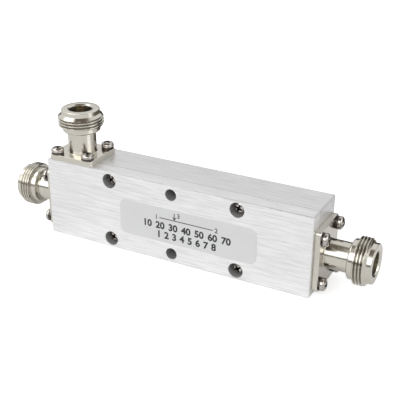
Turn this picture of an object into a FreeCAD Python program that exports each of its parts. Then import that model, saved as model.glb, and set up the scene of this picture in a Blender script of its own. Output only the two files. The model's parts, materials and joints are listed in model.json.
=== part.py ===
import FreeCAD, Part
import math
import os

# Directional coupler: a two-piece aluminium block with a main line and a coupled line inside,
# threaded coaxial jacks at both ends and a third jack on top. Sizes are in millimetres.
# X runs along the block from input to output, Y runs from the front face to the back,
# Z is up, and the origin is at the centre of the bottom face.

# Block
body_length = 101.0
body_depth = 19.5
body_height = 29.0
cover_thickness = 5.5
edge_break = 0.25
seam_break = 0.08

# Milled channel in the housing
rail_height = 6.5
end_wall = 4.5
back_wall = 3.5
channel_corner = 3.0

# Cover screws and mounting holes share one row in each rail
row_inset = 3.4
cover_screw_span = 48.8
counterbore_diameter = 5.3
counterbore_depth = 3.0
cover_screw_length = 12.0
mounting_hole_diameter = 4.2

# Screws, 2.5 mm pan head. Screws, washers and their holes have many flat sides, which keeps
# the model light
fastener_sides = 12
screw_diameter = 2.5
screw_clearance = 0.1
thread_gap = 0.03
tap_runout = 0.8
head_diameter = 4.5
head_height = 1.7
head_rim = 0.75
head_flat_diameter = 2.6
flange_screw_length = 6.0
washer_outer = 4.4
washer_inner = 2.7
washer_thickness = 0.8
washer_slit = 0.5
washer_slit_angle = 25.0
washer_turn = 60.0
washer_turn_step = 80.0

# Jack, measured along its own axis from the block's face
flange_thickness = 2.0
flange_corner = 1.3
jack_reach = 18.0
neck_diameter = 10.0
collar_diameter = 13.4
rear_collar_length = 2.05
rear_collar_chamfer = 0.5
thread_diameter = 15.875
thread_length = 3.5
front_collar_length = 1.6
front_cone_length = 0.9
mouth_diameter = 8.1
mouth_chamfer = 0.45
reference_depth = 9.1
dielectric_diameter = 7.0
dielectric_setback = 0.3
seat_diameter = 8.2
seat_depth = 1.0
tail_sleeve_diameter = 5.0
insulator_gap = 0.03

# Centre contact
contact_diameter = 3.04
contact_tip_depth = 4.1
socket_diameter = 1.65
socket_depth = 5.5
slot_width = 0.3
slot_length = 4.6
contact_tip_chamfer = 0.25
tail_diameter = 1.5
contact_gap = 0.02
tail_overlap = 3.0

# Places of the three jacks, from the front face, the bottom face and the left end
end_port_depth = 10.2
end_port_height = 12.5
end_flange_height = 21.5
end_flange_width = 17.0
end_hole_rise = 16.0
end_hole_spacing = 13.5
top_port_depth = 8.25
top_port_inset = 9.8
top_flange_length = 17.6
top_flange_width = 16.2
top_hole_spacing = 12.7

# Lines inside
line_width = 6.4
line_height = 3.6
main_line_gap = 0.5
coupled_line_height = 4.0
centre_gap = 0.8
outer_gap = 1.8
centre_section_length = 30.0
pad_overhang = 2.3
line_corner = 0.8

# Load resistor, a ceramic rod with a cap at each end
rod_diameter = 3.0
rod_length = 8.6
cap_diameter = 3.6
cap_length = 2.2
load_pin_diameter = 1.2
load_pin_length = 2.5
load_seat_depth = 2.0
load_gap = 0.03

# Line supports
support_thickness = 4.0
support_spacing = 52.0
support_shift = -3.0
support_gap = 0.05
support_front_gap = 0.2

# Label
label_length = 52.0
label_height = 13.0
label_thickness = 0.1
label_corner = 2.6
label_shift = 5.75
label_rise = 13.7

# Cutters reach this far past a surface, and two places this close count as one
cutter_overshoot = 1.0
same_place = 1e-6

# Worked out from the sizes above
front_y = -body_depth / 2
back_y = body_depth / 2
seam_y = front_y + cover_thickness
channel_back_y = back_y - back_wall
channel_half = body_length / 2 - end_wall
channel_bottom = rail_height
channel_top = body_height - rail_height
screw_radius = screw_diameter / 2
tap_radius = screw_radius + thread_gap
clearance_radius = screw_radius + screw_clearance
grip_length = flange_screw_length - washer_thickness - flange_thickness
tap_depth = grip_length + tap_runout
end_port_y = front_y + end_port_depth
top_port_x = -body_length / 2 + top_port_inset
top_port_y = front_y + top_port_depth
line_front_y = end_port_y - line_width / 2
line_back_y = end_port_y + line_width / 2
main_bottom = end_port_height - line_height / 2
main_top = end_port_height + line_height / 2
coupled_bottom = main_top + centre_gap
coupled_outer_bottom = main_top + outer_gap
coupled_top = coupled_bottom + coupled_line_height
load_height = (coupled_outer_bottom + coupled_top) / 2
load_seat_x = channel_half + load_seat_depth
coupled_end_x = load_seat_x - 2 * cap_length - rod_length
end_sleeve_length = end_wall
top_sleeve_length = rail_height
end_tail_length = end_wall + main_line_gap + tail_overlap
top_tail_length = body_height - coupled_outer_bottom

AXIS_X = FreeCAD.Vector(1, 0, 0)
AXIS_Y = FreeCAD.Vector(0, 1, 0)
AXIS_Z = FreeCAD.Vector(0, 0, 1)
CENTRE = FreeCAD.Vector(0, 0, 0)


def point(x, y, z):
    return FreeCAD.Vector(x, y, z)


def closed_wire(points):
    return Part.makePolygon(points + [points[0]])


def revolved(profile):
    """Solid of revolution about the Z axis from (radius, height) pairs."""
    corners = [point(radius, 0, height) for radius, height in profile]
    face = Part.Face(closed_wire(corners))
    return face.revolve(CENTRE, AXIS_Z, 360)


def cylinder(radius, length, start, direction):
    return Part.makeCylinder(radius, length, start, direction)


def rounded_plate(size_x, size_y, corner, thickness):
    """Plate on the XY plane, centred on the Z axis, with its four upright edges rounded."""
    plate = Part.makeBox(size_x, size_y, thickness, point(-size_x / 2, -size_y / 2, 0))
    upright = [edge for edge in plate.Edges if is_along(edge, AXIS_Z)]
    return plate.makeFillet(corner, upright)


def is_along(edge, axis):
    if not isinstance(edge.Curve, Part.Line):
        return False
    return abs(abs(edge.tangentAt(edge.FirstParameter).dot(axis)) - 1) < same_place


def corners_of(size_x, size_y):
    return [(sign_x * size_x / 2, sign_y * size_y / 2) for sign_x in (-1, 1) for sign_y in (-1, 1)]


def group(solids):
    return Part.makeCompound(solids)


def export(name, shape):
    shape.exportStep("parts/" + name + ".step")


def ring_corners(radius, height):
    """Corners of a fastener's outline at one height, all at the radius."""
    corners = []
    for index in range(fastener_sides):
        angle = 2 * math.pi * index / fastener_sides
        corners.append(point(radius * math.cos(angle), radius * math.sin(angle), height))
    return corners


def prism(radius, low, high):
    return Part.Face(closed_wire(ring_corners(radius, low))).extrude(AXIS_Z * (high - low))


def flat_sided(profile):
    """Solid with flat sides about the Z axis, through (radius, height) pairs, closed at both ends."""
    rings = [ring_corners(radius, height) for radius, height in profile]
    faces = [Part.Face(closed_wire(rings[0])), Part.Face(closed_wire(rings[-1]))]
    for lower, upper in zip(rings, rings[1:]):
        for index in range(fastener_sides):
            corners = [lower[index - 1], lower[index], upper[index], upper[index - 1]]
            faces.append(Part.Face(closed_wire(corners)))
    return Part.makeSolid(Part.makeShell(faces))


def fastener_hole(radius, depth, start, direction):
    """Hole for a screw, with its flat sides at the radius, from its mouth at start."""
    hole = prism(radius / math.cos(math.pi / fastener_sides), 0, depth)
    hole.Placement = FreeCAD.Placement(start, FreeCAD.Rotation(AXIS_Z, direction))
    return hole


def pan_screw(length):
    """Pan-head screw with its seat at height zero and its shank downward."""
    head = head_diameter / 2
    return flat_sided([
        (screw_radius, -length), (screw_radius, 0), (head, 0), (head, head_rim),
        (head_flat_diameter / 2, head_height)])


def lock_washer():
    """Split ring: the slit runs at an angle through one side."""
    ring = prism(washer_outer / 2, 0, washer_thickness)
    ring = ring.cut(prism(washer_inner / 2, 0, washer_thickness))
    lean = math.tan(math.radians(washer_slit_angle))
    middle = washer_thickness / 2
    low = -cutter_overshoot
    high = washer_thickness + cutter_overshoot
    outline = []
    for side, height in ((-1, low), (1, low), (1, high), (-1, high)):
        outline.append(point(0, side * washer_slit / 2 + (height - middle) * lean, height))
    slit = Part.Face(closed_wire(outline)).extrude(AXIS_X * washer_outer)
    return ring.cut(slit)


# Jack pieces stand on the XY plane with the block's face at height zero and +Z outward

def barrel_profile():
    """Outside of the jack's barrel, from the block's face to the mouth."""
    neck = neck_diameter / 2
    collar = collar_diameter / 2
    crest = thread_diameter / 2
    thread_top = jack_reach - front_collar_length - front_cone_length
    thread_foot = thread_top - thread_length
    collar_foot = thread_foot - rear_collar_length
    profile = [(0, 0), (neck, 0), (neck, collar_foot), (collar - rear_collar_chamfer, collar_foot)]
    profile += [(collar, collar_foot + rear_collar_chamfer), (collar, thread_foot)]
    profile += [(crest, thread_foot), (crest, thread_top)]
    profile += [(collar, jack_reach - front_collar_length), (collar, jack_reach), (0, jack_reach)]
    return profile


def bore_profile():
    """Inside of the jack: rear seat, dielectric bore, mating bore and chamfered mouth."""
    seat = seat_diameter / 2
    dielectric = dielectric_diameter / 2
    mouth = mouth_diameter / 2
    reference = jack_reach - reference_depth
    rear = -cutter_overshoot
    front = jack_reach + cutter_overshoot
    profile = [(0, rear), (seat, rear), (seat, seat_depth), (dielectric, seat_depth)]
    profile += [(dielectric, reference), (mouth, reference)]
    profile += [(mouth, jack_reach - mouth_chamfer), (mouth + mouth_chamfer, jack_reach)]
    profile += [(mouth + mouth_chamfer, front), (0, front)]
    return profile


def connector_shell(flange_x, flange_y, hole_x, hole_y):
    flange = rounded_plate(flange_x, flange_y, flange_corner, flange_thickness)
    shell = flange.fuse(revolved(barrel_profile())).removeSplitter()
    shell = shell.cut(revolved(bore_profile()))
    for x, y in corners_of(hole_x, hole_y):
        shell = shell.cut(fastener_hole(clearance_radius, flange_thickness, point(x, y, 0), AXIS_Z))
    return shell


def insulator(sleeve_length):
    """Moulded plug in the shell with a collar in the rear seat and a sleeve through the wall."""
    plug = dielectric_diameter / 2 - insulator_gap
    collar = seat_diameter / 2 - insulator_gap
    sleeve = tail_sleeve_diameter / 2
    front = jack_reach - reference_depth - dielectric_setback
    hole = contact_diameter / 2 + contact_gap
    tail = tail_diameter / 2 + contact_gap
    profile = [(tail, -sleeve_length), (sleeve, -sleeve_length), (sleeve, 0), (collar, 0)]
    profile += [(collar, seat_depth), (plug, seat_depth), (plug, front)]
    profile += [(hole, front), (hole, seat_depth), (tail, seat_depth)]
    return revolved(profile)


def centre_contact(tail_length):
    """Turned contact with a slotted socket at the front and a solder tail at the rear."""
    outer = contact_diameter / 2
    tail = tail_diameter / 2
    tip = jack_reach - contact_tip_depth
    socket = socket_diameter / 2
    profile = [(0, -tail_length), (tail, -tail_length), (tail, seat_depth), (outer, seat_depth)]
    profile += [(outer, tip - contact_tip_chamfer), (outer - contact_tip_chamfer, tip)]
    profile += [(socket, tip), (socket, tip - socket_depth), (0, tip - socket_depth - socket)]
    contact = revolved(profile)
    reach = contact_diameter + cutter_overshoot
    for angle in (0, 90):
        slot = Part.makeBox(
            reach, slot_width, slot_length + cutter_overshoot,
            point(-reach / 2, -slot_width / 2, tip - slot_length))
        slot.rotate(CENTRE, AXIS_Z, angle)
        contact = contact.cut(slot)
    return contact


def placed(shape, port):
    copy = shape.copy()
    copy.rotate(CENTRE, AXIS_Y, port["turn"])
    copy.translate(port["face"])
    return copy


ports = {
    "input": {
        "face": point(-body_length / 2, end_port_y, end_port_height),
        "turn": -90,
        "flange": (end_flange_height, end_flange_width),
        "holes": (end_hole_rise, end_hole_spacing),
        "sleeve": end_sleeve_length,
        "tail": end_tail_length,
    },
    "output": {
        "face": point(body_length / 2, end_port_y, end_port_height),
        "turn": 90,
        "flange": (end_flange_height, end_flange_width),
        "holes": (end_hole_rise, end_hole_spacing),
        "sleeve": end_sleeve_length,
        "tail": end_tail_length,
    },
    "coupled": {
        "face": point(top_port_x, top_port_y, body_height),
        "turn": 0,
        "flange": (top_flange_length, top_flange_width),
        "holes": (top_hole_spacing, top_hole_spacing),
        "sleeve": top_sleeve_length,
        "tail": top_tail_length,
    },
}


def port_cutters():
    """Bores for the jack sleeves and tapped holes for the flange screws."""
    cutters = []
    for port in ports.values():
        sleeve_radius = tail_sleeve_diameter / 2 + insulator_gap
        bore = cylinder(sleeve_radius, port["sleeve"], point(0, 0, -port["sleeve"]), AXIS_Z)
        cutters.append(placed(bore, port))
        for x, y in corners_of(*port["holes"]):
            hole = fastener_hole(tap_radius, tap_depth, point(x, y, 0), AXIS_Z * -1)
            cutters.append(placed(hole, port))
    return cutters


def row_heights():
    return (row_inset, body_height - row_inset)


def cover_screw_places():
    return [(x, z) for x in (-cover_screw_span / 2, cover_screw_span / 2) for z in row_heights()]


def block(y_from, y_to):
    return Part.makeBox(
        body_length, y_to - y_from, body_height, point(-body_length / 2, y_from, 0))


def broken_block(y_from, y_to):
    """Block with broken outer edges and a finer break along the seam."""
    solid = block(y_from, y_to)
    outer_edges = [edge for edge in solid.Edges if not lies_on_seam(edge)]
    solid = solid.makeChamfer(edge_break, outer_edges)
    seam_edges = [edge for edge in solid.Edges if lies_on_seam(edge)]
    return solid.makeChamfer(seam_break, seam_edges)


def lies_on_seam(edge):
    box = edge.BoundBox
    return abs(box.YMin - seam_y) < same_place and abs(box.YMax - seam_y) < same_place


def mounting_holes():
    return [cylinder(mounting_hole_diameter / 2, body_depth, point(0, front_y, z), AXIS_Y)
            for z in row_heights()]


def cover():
    plate = broken_block(front_y, seam_y)
    cutters = mounting_holes() + port_cutters()
    for x, z in cover_screw_places():
        start = point(x, front_y, z)
        cutters.append(cylinder(counterbore_diameter / 2, counterbore_depth, start, AXIS_Y))
        cutters.append(fastener_hole(clearance_radius, cover_thickness, start, AXIS_Y))
    return plate.cut(cutters)


def channel():
    """Rounded channel milled into the housing from the seam."""
    length = 2 * channel_half
    height = channel_top - channel_bottom
    depth = channel_back_y - seam_y
    pocket = rounded_plate(length, height, channel_corner, depth)
    pocket.rotate(CENTRE, AXIS_X, 90)
    pocket.translate(point(0, channel_back_y, (channel_top + channel_bottom) / 2))
    return pocket


def housing():
    solid = broken_block(seam_y, back_y)
    cutters = mounting_holes() + port_cutters() + [channel()]
    tapped = cover_screw_length - (cover_thickness - counterbore_depth) + tap_runout
    for x, z in cover_screw_places():
        cutters.append(fastener_hole(tap_radius, tapped, point(x, seam_y, z), AXIS_Y))
    load_seat = cylinder(
        cap_diameter / 2 + load_gap, load_seat_depth + channel_corner,
        point(channel_half - channel_corner, end_port_y, load_height), AXIS_X)
    cutters.append(load_seat)
    return solid.cut(cutters)


def cover_screws():
    screws = []
    for x, z in cover_screw_places():
        screw = pan_screw(cover_screw_length)
        screw.rotate(CENTRE, AXIS_X, 90)
        screw.translate(point(x, front_y + counterbore_depth, z))
        screws.append(screw)
    return group(screws)


def flange_screws(port):
    seat = flange_thickness + washer_thickness
    screws = []
    for x, y in corners_of(*port["holes"]):
        screw = pan_screw(flange_screw_length)
        screw.translate(point(x, y, seat))
        screws.append(placed(screw, port))
    return group(screws)


def lock_washers(port):
    washers = []
    for index, (x, y) in enumerate(corners_of(*port["holes"])):
        washer = lock_washer()
        washer.rotate(CENTRE, AXIS_Z, washer_turn + washer_turn_step * index)
        washer.translate(point(x, y, flange_thickness))
        washers.append(placed(washer, port))
    return group(washers)


def bar(outline):
    """Flat bar: an outline of (x, z) pairs with the width of the lines along Y."""
    corners = [point(x, line_front_y, z) for x, z in outline]
    return Part.Face(closed_wire(corners)).extrude(AXIS_Y * line_width)


def round_bar_ends(solid):
    """Rounds the four upright corners at the two ends of a bar."""
    low = solid.BoundBox.XMin
    high = solid.BoundBox.XMax
    edges = []
    for edge in solid.Edges:
        if not is_along(edge, AXIS_Z):
            continue
        x = edge.CenterOfMass.x
        if abs(x - low) < same_place or abs(x - high) < same_place:
            edges.append(edge)
    return solid.makeFillet(line_corner, edges)


def main_line():
    half = channel_half - main_line_gap
    outline = [(-half, main_bottom), (half, main_bottom), (half, main_top), (-half, main_top)]
    line = round_bar_ends(bar(outline))
    hole_radius = tail_diameter / 2 + contact_gap
    depth = tail_overlap + contact_gap
    for side in (-1, 1):
        start = point(side * half, end_port_y, end_port_height)
        line = line.cut(cylinder(hole_radius, depth, start, AXIS_X * -side))
    return line


def coupled_line():
    """Bar beside the main line: its lower edge steps closer along the centre section."""
    left = top_port_x - pad_overhang
    right = coupled_end_x
    middle = centre_section_length / 2
    outline = [(left, coupled_outer_bottom), (-middle, coupled_outer_bottom)]
    outline += [(-middle, coupled_bottom), (middle, coupled_bottom)]
    outline += [(middle, coupled_outer_bottom), (right, coupled_outer_bottom)]
    outline += [(right, coupled_top), (left, coupled_top)]
    line = round_bar_ends(bar(outline))
    hole_radius = tail_diameter / 2 + contact_gap
    height = coupled_top - coupled_outer_bottom
    start = point(top_port_x, top_port_y, coupled_outer_bottom)
    line = line.cut(cylinder(hole_radius, height, start, AXIS_Z))
    pin_hole = cylinder(
        load_pin_diameter / 2 + load_gap, load_pin_length + load_gap,
        point(right, end_port_y, load_height), AXIS_X * -1)
    return line.cut(pin_hole)


def load_resistor():
    rod = rod_diameter / 2
    cap = cap_diameter / 2
    pin = load_pin_diameter / 2
    total = 2 * cap_length + rod_length
    profile = [(0, -load_pin_length), (pin, -load_pin_length), (pin, 0), (cap, 0)]
    profile += [(cap, cap_length), (rod, cap_length), (rod, cap_length + rod_length)]
    profile += [(cap, cap_length + rod_length), (cap, total), (0, total)]
    resistor = revolved(profile)
    resistor.rotate(CENTRE, AXIS_Y, 90)
    resistor.translate(point(coupled_end_x, end_port_y, load_height))
    return resistor


def line_supports():
    """Combs of insulating plastic that the two bars drop into from the front."""
    foot = channel_bottom + support_gap
    crown = channel_top - support_gap
    front = seam_y + support_front_gap
    low_slot = (main_bottom - support_gap, main_top + support_gap)
    high_slot = (coupled_outer_bottom - support_gap, coupled_top + support_gap)
    slot_back = line_back_y + support_gap
    outline = [(channel_back_y, foot), (front, foot), (front, low_slot[0])]
    outline += [(slot_back, low_slot[0]), (slot_back, low_slot[1]), (front, low_slot[1])]
    outline += [(front, high_slot[0]), (slot_back, high_slot[0]), (slot_back, high_slot[1])]
    outline += [(front, high_slot[1]), (front, crown), (channel_back_y, crown)]
    supports = []
    for side in (-1, 1):
        x = support_shift + side * support_spacing / 2 - support_thickness / 2
        corners = [point(x, y, z) for y, z in outline]
        supports.append(Part.Face(closed_wire(corners)).extrude(AXIS_X * support_thickness))
    return group(supports)


def label():
    foil = rounded_plate(label_length, label_height, label_corner, label_thickness)
    foil.rotate(CENTRE, AXIS_X, 90)
    foil.translate(point(label_shift, front_y, label_rise))
    return foil


def build():
    os.makedirs("parts", exist_ok=True)
    export("housing", housing())
    export("cover", cover())
    export("cover_screws", cover_screws())
    export("main_line", main_line())
    export("coupled_line", coupled_line())
    export("load_resistor", load_resistor())
    export("line_supports", line_supports())
    export("label", label())
    for name, port in ports.items():
        shell = connector_shell(*port["flange"], *port["holes"])
        export(name + "_connector_shell", placed(shell, port))
        export(name + "_insulator", placed(insulator(port["sleeve"]), port))
        export(name + "_centre_contact", placed(centre_contact(port["tail"]), port))
        export(name + "_flange_screws", flange_screws(port))
        export(name + "_lock_washers", lock_washers(port))


build()
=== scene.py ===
import json
import math

import bmesh
import bpy
from mathutils import Matrix, Vector


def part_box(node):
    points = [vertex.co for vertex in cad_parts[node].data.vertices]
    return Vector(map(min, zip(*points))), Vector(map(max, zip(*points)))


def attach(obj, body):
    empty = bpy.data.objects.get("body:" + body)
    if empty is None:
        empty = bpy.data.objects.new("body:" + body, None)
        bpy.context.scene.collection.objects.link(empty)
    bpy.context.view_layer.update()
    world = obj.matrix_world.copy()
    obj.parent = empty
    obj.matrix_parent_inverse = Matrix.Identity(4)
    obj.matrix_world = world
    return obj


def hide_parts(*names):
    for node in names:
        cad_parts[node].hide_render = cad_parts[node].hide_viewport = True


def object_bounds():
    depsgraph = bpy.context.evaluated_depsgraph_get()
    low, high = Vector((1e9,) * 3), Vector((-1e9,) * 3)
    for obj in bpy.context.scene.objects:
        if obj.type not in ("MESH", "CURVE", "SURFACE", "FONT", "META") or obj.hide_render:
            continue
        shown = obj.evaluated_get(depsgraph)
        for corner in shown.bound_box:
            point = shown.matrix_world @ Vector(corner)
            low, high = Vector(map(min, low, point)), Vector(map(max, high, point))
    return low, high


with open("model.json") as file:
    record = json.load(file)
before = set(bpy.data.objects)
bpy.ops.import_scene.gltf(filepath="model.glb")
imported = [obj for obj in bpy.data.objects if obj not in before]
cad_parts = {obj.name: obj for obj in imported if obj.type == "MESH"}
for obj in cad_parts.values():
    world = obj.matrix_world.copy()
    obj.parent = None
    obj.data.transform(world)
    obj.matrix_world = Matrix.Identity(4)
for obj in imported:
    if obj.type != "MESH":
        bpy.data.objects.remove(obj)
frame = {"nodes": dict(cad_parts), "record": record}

bl_info = {
    "name": "Directional coupler finish",
    "version": (1, 0, 0),
    "blender": (4, 5, 0),
    "location": "View3D > Sidebar > Coupler",
    "description": "Turned jacks, screws, washers, label print and finishes for a directional coupler",
    "category": "Add Mesh",
}

# Sizes are in metres, and most are written as a number of millimetres
MM = 0.001
FULL_TURN = 2 * math.pi
SAME_POINT = 0.002 * MM
SHARP_ANGLE = math.radians(38)

# Numbers of steps in curved shapes
DOME_STEPS = 10
HOLE_STEPS = 32
WASHER_STEPS = 56
PITCH_STEPS = 16

# Flat at the root of the thread, as a share of the flat on its crest
ROOT_FLAT = 0.25
# Height of a digit, as a share of the font's size
DIGIT_SHARE = 0.72
# Range that most values of a noise texture lie in, and a closer one for the grain's lines
NOISE_RANGE = (0.3, 0.7)
STREAK_RANGE = (0.32, 0.62)
# Watts of an area light for each square metre and unit of radiance
AREA_LIGHT_WATTS = 4

cad_low, cad_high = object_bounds()
mounts = {mount["name"]: mount for mount in frame["record"]["mounts"]}
port_names = ("input", "output", "coupled")


def linear(red, green, blue):
    """Colour as it looks on screen, turned into the linear values that shaders take."""
    def channel(value):
        return value / 12.92 if value <= 0.04045 else ((value + 0.055) / 1.055) ** 2.4
    return (channel(red), channel(green), channel(blue))


def size_property(name, description, millimetres):
    return bpy.props.FloatProperty(
        name=name, description=description, default=millimetres * MM, min=0.0,
        unit="LENGTH", precision=5)


def share_property(name, description, value, highest=1.0):
    return bpy.props.FloatProperty(
        name=name, description=description, default=value, min=0.0, max=highest)


def angle_property(name, description, degrees):
    return bpy.props.FloatProperty(
        name=name, description=description, default=math.radians(degrees), unit="ROTATION",
        subtype="ANGLE")


def colour_property(name, description, colour):
    return bpy.props.FloatVectorProperty(
        name=name, description=description, default=linear(*colour), size=3, min=0.0, max=1.0,
        subtype="COLOR")


class JackSettings(bpy.types.PropertyGroup):
    neck_diameter: size_property("Neck", "Diameter of the plain neck", 10.0)
    neck_fillet: size_property("Neck fillet", "Fillet where the neck meets the flange", 0.3)
    collar_diameter: size_property("Collar", "Diameter of the collars beside the thread", 13.4)
    rear_collar_length: size_property("Rear collar", "Length of the rear collar", 2.05)
    rear_collar_round: size_property("Rear round", "Rounding of the rear collar", 0.6)
    front_collar_length: size_property("Front collar", "Length of the front collar", 1.6)
    front_round: size_property("Front round", "Rounding of the front rim", 0.25)
    mouth_diameter: size_property("Mouth", "Diameter of the mating bore", 8.1)
    mouth_chamfer: size_property("Mouth chamfer", "Chamfer at the mouth", 0.45)
    reference_depth: size_property("Reference depth", "Depth of the mating bore", 9.1)
    bore_diameter: size_property("Inner bore", "Diameter of the bore round the insulator", 7.0)
    seat_diameter: size_property("Seat", "Diameter of the rear seat", 8.2)
    seat_depth: size_property("Seat depth", "Depth of the rear seat", 1.0)
    flange_thickness: size_property("Flange", "Thickness of the flange", 2.0)
    flange_corner: size_property("Flange corner", "Corner radius of the flange", 1.3)
    flange_break: size_property("Flange break", "Break along the edges of the flange", 0.13)
    clearance_diameter: size_property("Screw holes", "Diameter of the holes in the flange", 2.7)
    thread_pitch: size_property("Pitch", "Distance from crest to crest", 25.4 / 24)
    thread_depth: size_property("Thread depth", "Depth of the grooves", 0.72)
    thread_flat: share_property("Thread flat", "Share of the crest that is flat", 0.26)
    segments: bpy.props.IntProperty(
        name="Segments", description="Faces round a jack", default=144, min=24)
    nickel: colour_property("Nickel", "Colour of the plated shells", (0.80, 0.785, 0.745))
    nickel_roughness: share_property("Nickel roughness", "Roughness of the shells", 0.19)
    # Painted shade in the roots of the thread
    groove_painted_shade: share_property("Groove shade", "Brightness at the root of the thread", 0.65)


class FastenerSettings(bpy.types.PropertyGroup):
    shank_diameter: size_property("Shank", "Diameter of the screws", 2.5)
    head_diameter: size_property("Head", "Diameter of the screw heads", 4.5)
    head_height: size_property("Head height", "Height of the screw heads", 1.7)
    head_wall: size_property("Head wall", "Height of the upright side below the dome", 0.55)
    recess_span: size_property("Recess", "Tip to tip width of the cross recess", 3.0)
    recess_floor_span: size_property("Recess floor", "Tip to tip width at its floor", 1.3)
    recess_width: size_property("Recess wing", "Width of a wing of the recess", 0.72)
    recess_depth: size_property("Recess depth", "Depth of the recess", 1.2)
    segments: bpy.props.IntProperty(
        name="Segments", description="Faces round a screw", default=48, min=12)
    washer_outer: size_property("Washer", "Outer diameter of the lock washers", 4.4)
    washer_inner: size_property("Washer hole", "Inner diameter of the lock washers", 2.7)
    washer_break: size_property("Washer break", "Rounding of the washer's section", 0.12)
    washer_gap: angle_property("Washer gap", "Angle of the slit", 16.0)
    washer_lean: angle_property("Washer lean", "Turn of the slit from back to front", 14.0)
    # Painted shade on the faces of the cross recess
    recess_painted_shade: share_property("Recess shade", "Brightness of the faces of the recess", 0.1)
    steel: colour_property("Steel", "Colour of the screws", (0.72, 0.70, 0.68))
    steel_roughness: share_property("Steel roughness", "Roughness of the screws", 0.13)
    washer_steel: colour_property("Washer steel", "Colour of the washers", (0.34, 0.32, 0.31))


class BlockSettings(bpy.types.PropertyGroup):
    cover_tone: colour_property("Cover", "Colour of the cover", (0.955, 0.955, 0.955))
    housing_tone: colour_property("Housing", "Colour of the housing", (0.925, 0.925, 0.925))
    roughness: share_property("Roughness", "Middle roughness of the brushed faces", 0.36)
    grain_spacing: size_property("Grain spacing", "Distance between grain lines", 0.42)
    grain_length: size_property("Grain length", "Length of a grain line", 10.0)
    grain_contrast: share_property("Grain contrast", "Strength of the grain's colour", 0.2)
    grain_height: size_property("Grain height", "Height of the grain lines", 0.02)
    # Painted shade on the hole walls deeper than the inner depth; the same brightness sets the dark line
    # along the seam
    inner_painted_shade_and_seam: share_property("Inner shade", "Brightness of the walls inside the holes", 0.38)
    inner_depth: size_property("Inner depth", "Depth at which a hole's wall turns darker", 0.3)
    seam_width: size_property("Seam", "Width of the darker line along the seam", 0.2)
    # Painted shade on the long broken edges, which keeps their reflection of the softbox from showing as a
    # bright line
    edge_painted_shade: share_property("Edge shade", "Brightness of the long broken edges", 0.5)


class InsideSettings(bpy.types.PropertyGroup):
    insulator: colour_property("Insulator", "Colour of the insulators", (0.93, 0.92, 0.88))
    contact: colour_property("Contact", "Colour of the contacts", (0.88, 0.72, 0.42))
    line: colour_property("Lines", "Colour of the lines", (0.88, 0.87, 0.84))
    ceramic: colour_property("Ceramic", "Colour of the resistor", (0.86, 0.83, 0.76))


class LabelSettings(bpy.types.PropertyGroup):
    foil: colour_property("Foil", "Colour of the label", (0.845, 0.845, 0.848))
    ink: colour_property("Ink", "Colour of the print", (0.15, 0.15, 0.17))
    stroke: size_property("Stroke", "Width of the printed lines", 0.30)
    print_thickness: size_property("Print", "Thickness of the ink", 0.012)
    digit_height: size_property("Digits", "Height of the port numbers", 1.7)
    scale_height: size_property("Scale digits", "Height of the numbers in the rows", 2.5)
    boldness: size_property("Boldness", "How much the numbers in the rows are thickened", 0.13)


class StageSettings(bpy.types.PropertyGroup):
    camera_place: bpy.props.FloatVectorProperty(
        name="Camera", description="Place of the camera", default=(0.1256, -0.2286, 0.1423),
        size=3, unit="LENGTH", subtype="TRANSLATION")
    azimuth: angle_property("Azimuth", "Angle of the camera round the part", 27.63)
    elevation: angle_property("Elevation", "Angle of the camera above the floor", 25.16)
    roll: angle_property("Roll", "Turn of the camera about its own line of sight", -0.24)
    focal_length: bpy.props.FloatProperty(
        name="Focal length", description="Focal length in millimetres", default=75.17, min=1.0)
    room_light: share_property("Room light", "Level of the light from all round", 0.5, 4.0)
    key_level: share_property("Softbox", "Brightness of the softboxes", 1.7, 10.0)
    floor_glow: share_property("Floor glow", "How much the floor shines where it is seen", 0.58, 2.0)
    mirrored_glow: share_property("Mirrored glow", "The same where the floor is mirrored", 0.14, 2.0)


def scene_settings():
    scene = bpy.context.scene
    return {
        "jack": scene.coupler_jack,
        "fastener": scene.coupler_fastener,
        "block": scene.coupler_block,
        "inside": scene.coupler_inside,
        "label": scene.coupler_label,
        "stage": scene.coupler_stage,
    }


# Objects and meshes

def new_object(name, data):
    """Object in the scene that holds a mesh, text, light or camera."""
    made = bpy.data.objects.new(name, data)
    bpy.context.scene.collection.objects.link(made)
    return made


def opened(data):
    """Copy of a mesh that can be edited."""
    mesh = bmesh.new()
    mesh.from_mesh(data)
    return mesh


# Node trees

def add_node(tree, kind, inputs=None, **options):
    """Node with its options set, and its inputs linked or given a value."""
    node = tree.nodes.new(kind)
    for option, value in options.items():
        setattr(node, option, value)
    for socket, value in (inputs or {}).items():
        feed(tree, node.inputs[socket], value)
    return node


def feed(tree, socket, value):
    if isinstance(value, bpy.types.NodeSocket):
        tree.links.new(value, socket)
    else:
        socket.default_value = value


def calculate(tree, operation, *values):
    node = tree.nodes.new("ShaderNodeMath")
    node.operation = operation
    for index, value in enumerate(values):
        feed(tree, node.inputs[index], value)
    return node.outputs[0]


def ranged(tree, value, wanted, given=(0.0, 1.0)):
    """Value moved from a given range to the wanted one, and held at its ends."""
    node = add_node(tree, "ShaderNodeMapRange", {
        "Value": value, "From Min": given[0], "From Max": given[1],
        "To Min": wanted[0], "To Max": wanted[1]})
    return node.outputs[0]


def new_group(name, kind, inputs, outputs):
    """Node group with its sockets, and its input and output nodes."""
    tree = bpy.data.node_groups.new(name, kind)
    for label, socket_type, value in inputs:
        socket = tree.interface.new_socket(label, in_out="INPUT", socket_type=socket_type)
        if value is not None:
            socket.default_value = value
    for label, socket_type in outputs:
        tree.interface.new_socket(label, in_out="OUTPUT", socket_type=socket_type)
    return tree, tree.nodes.new("NodeGroupInput"), tree.nodes.new("NodeGroupOutput")


def group_once(name, build):
    """Node group of this name, built when it is first asked for."""
    return bpy.data.node_groups.get(name) or build(name)


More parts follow.
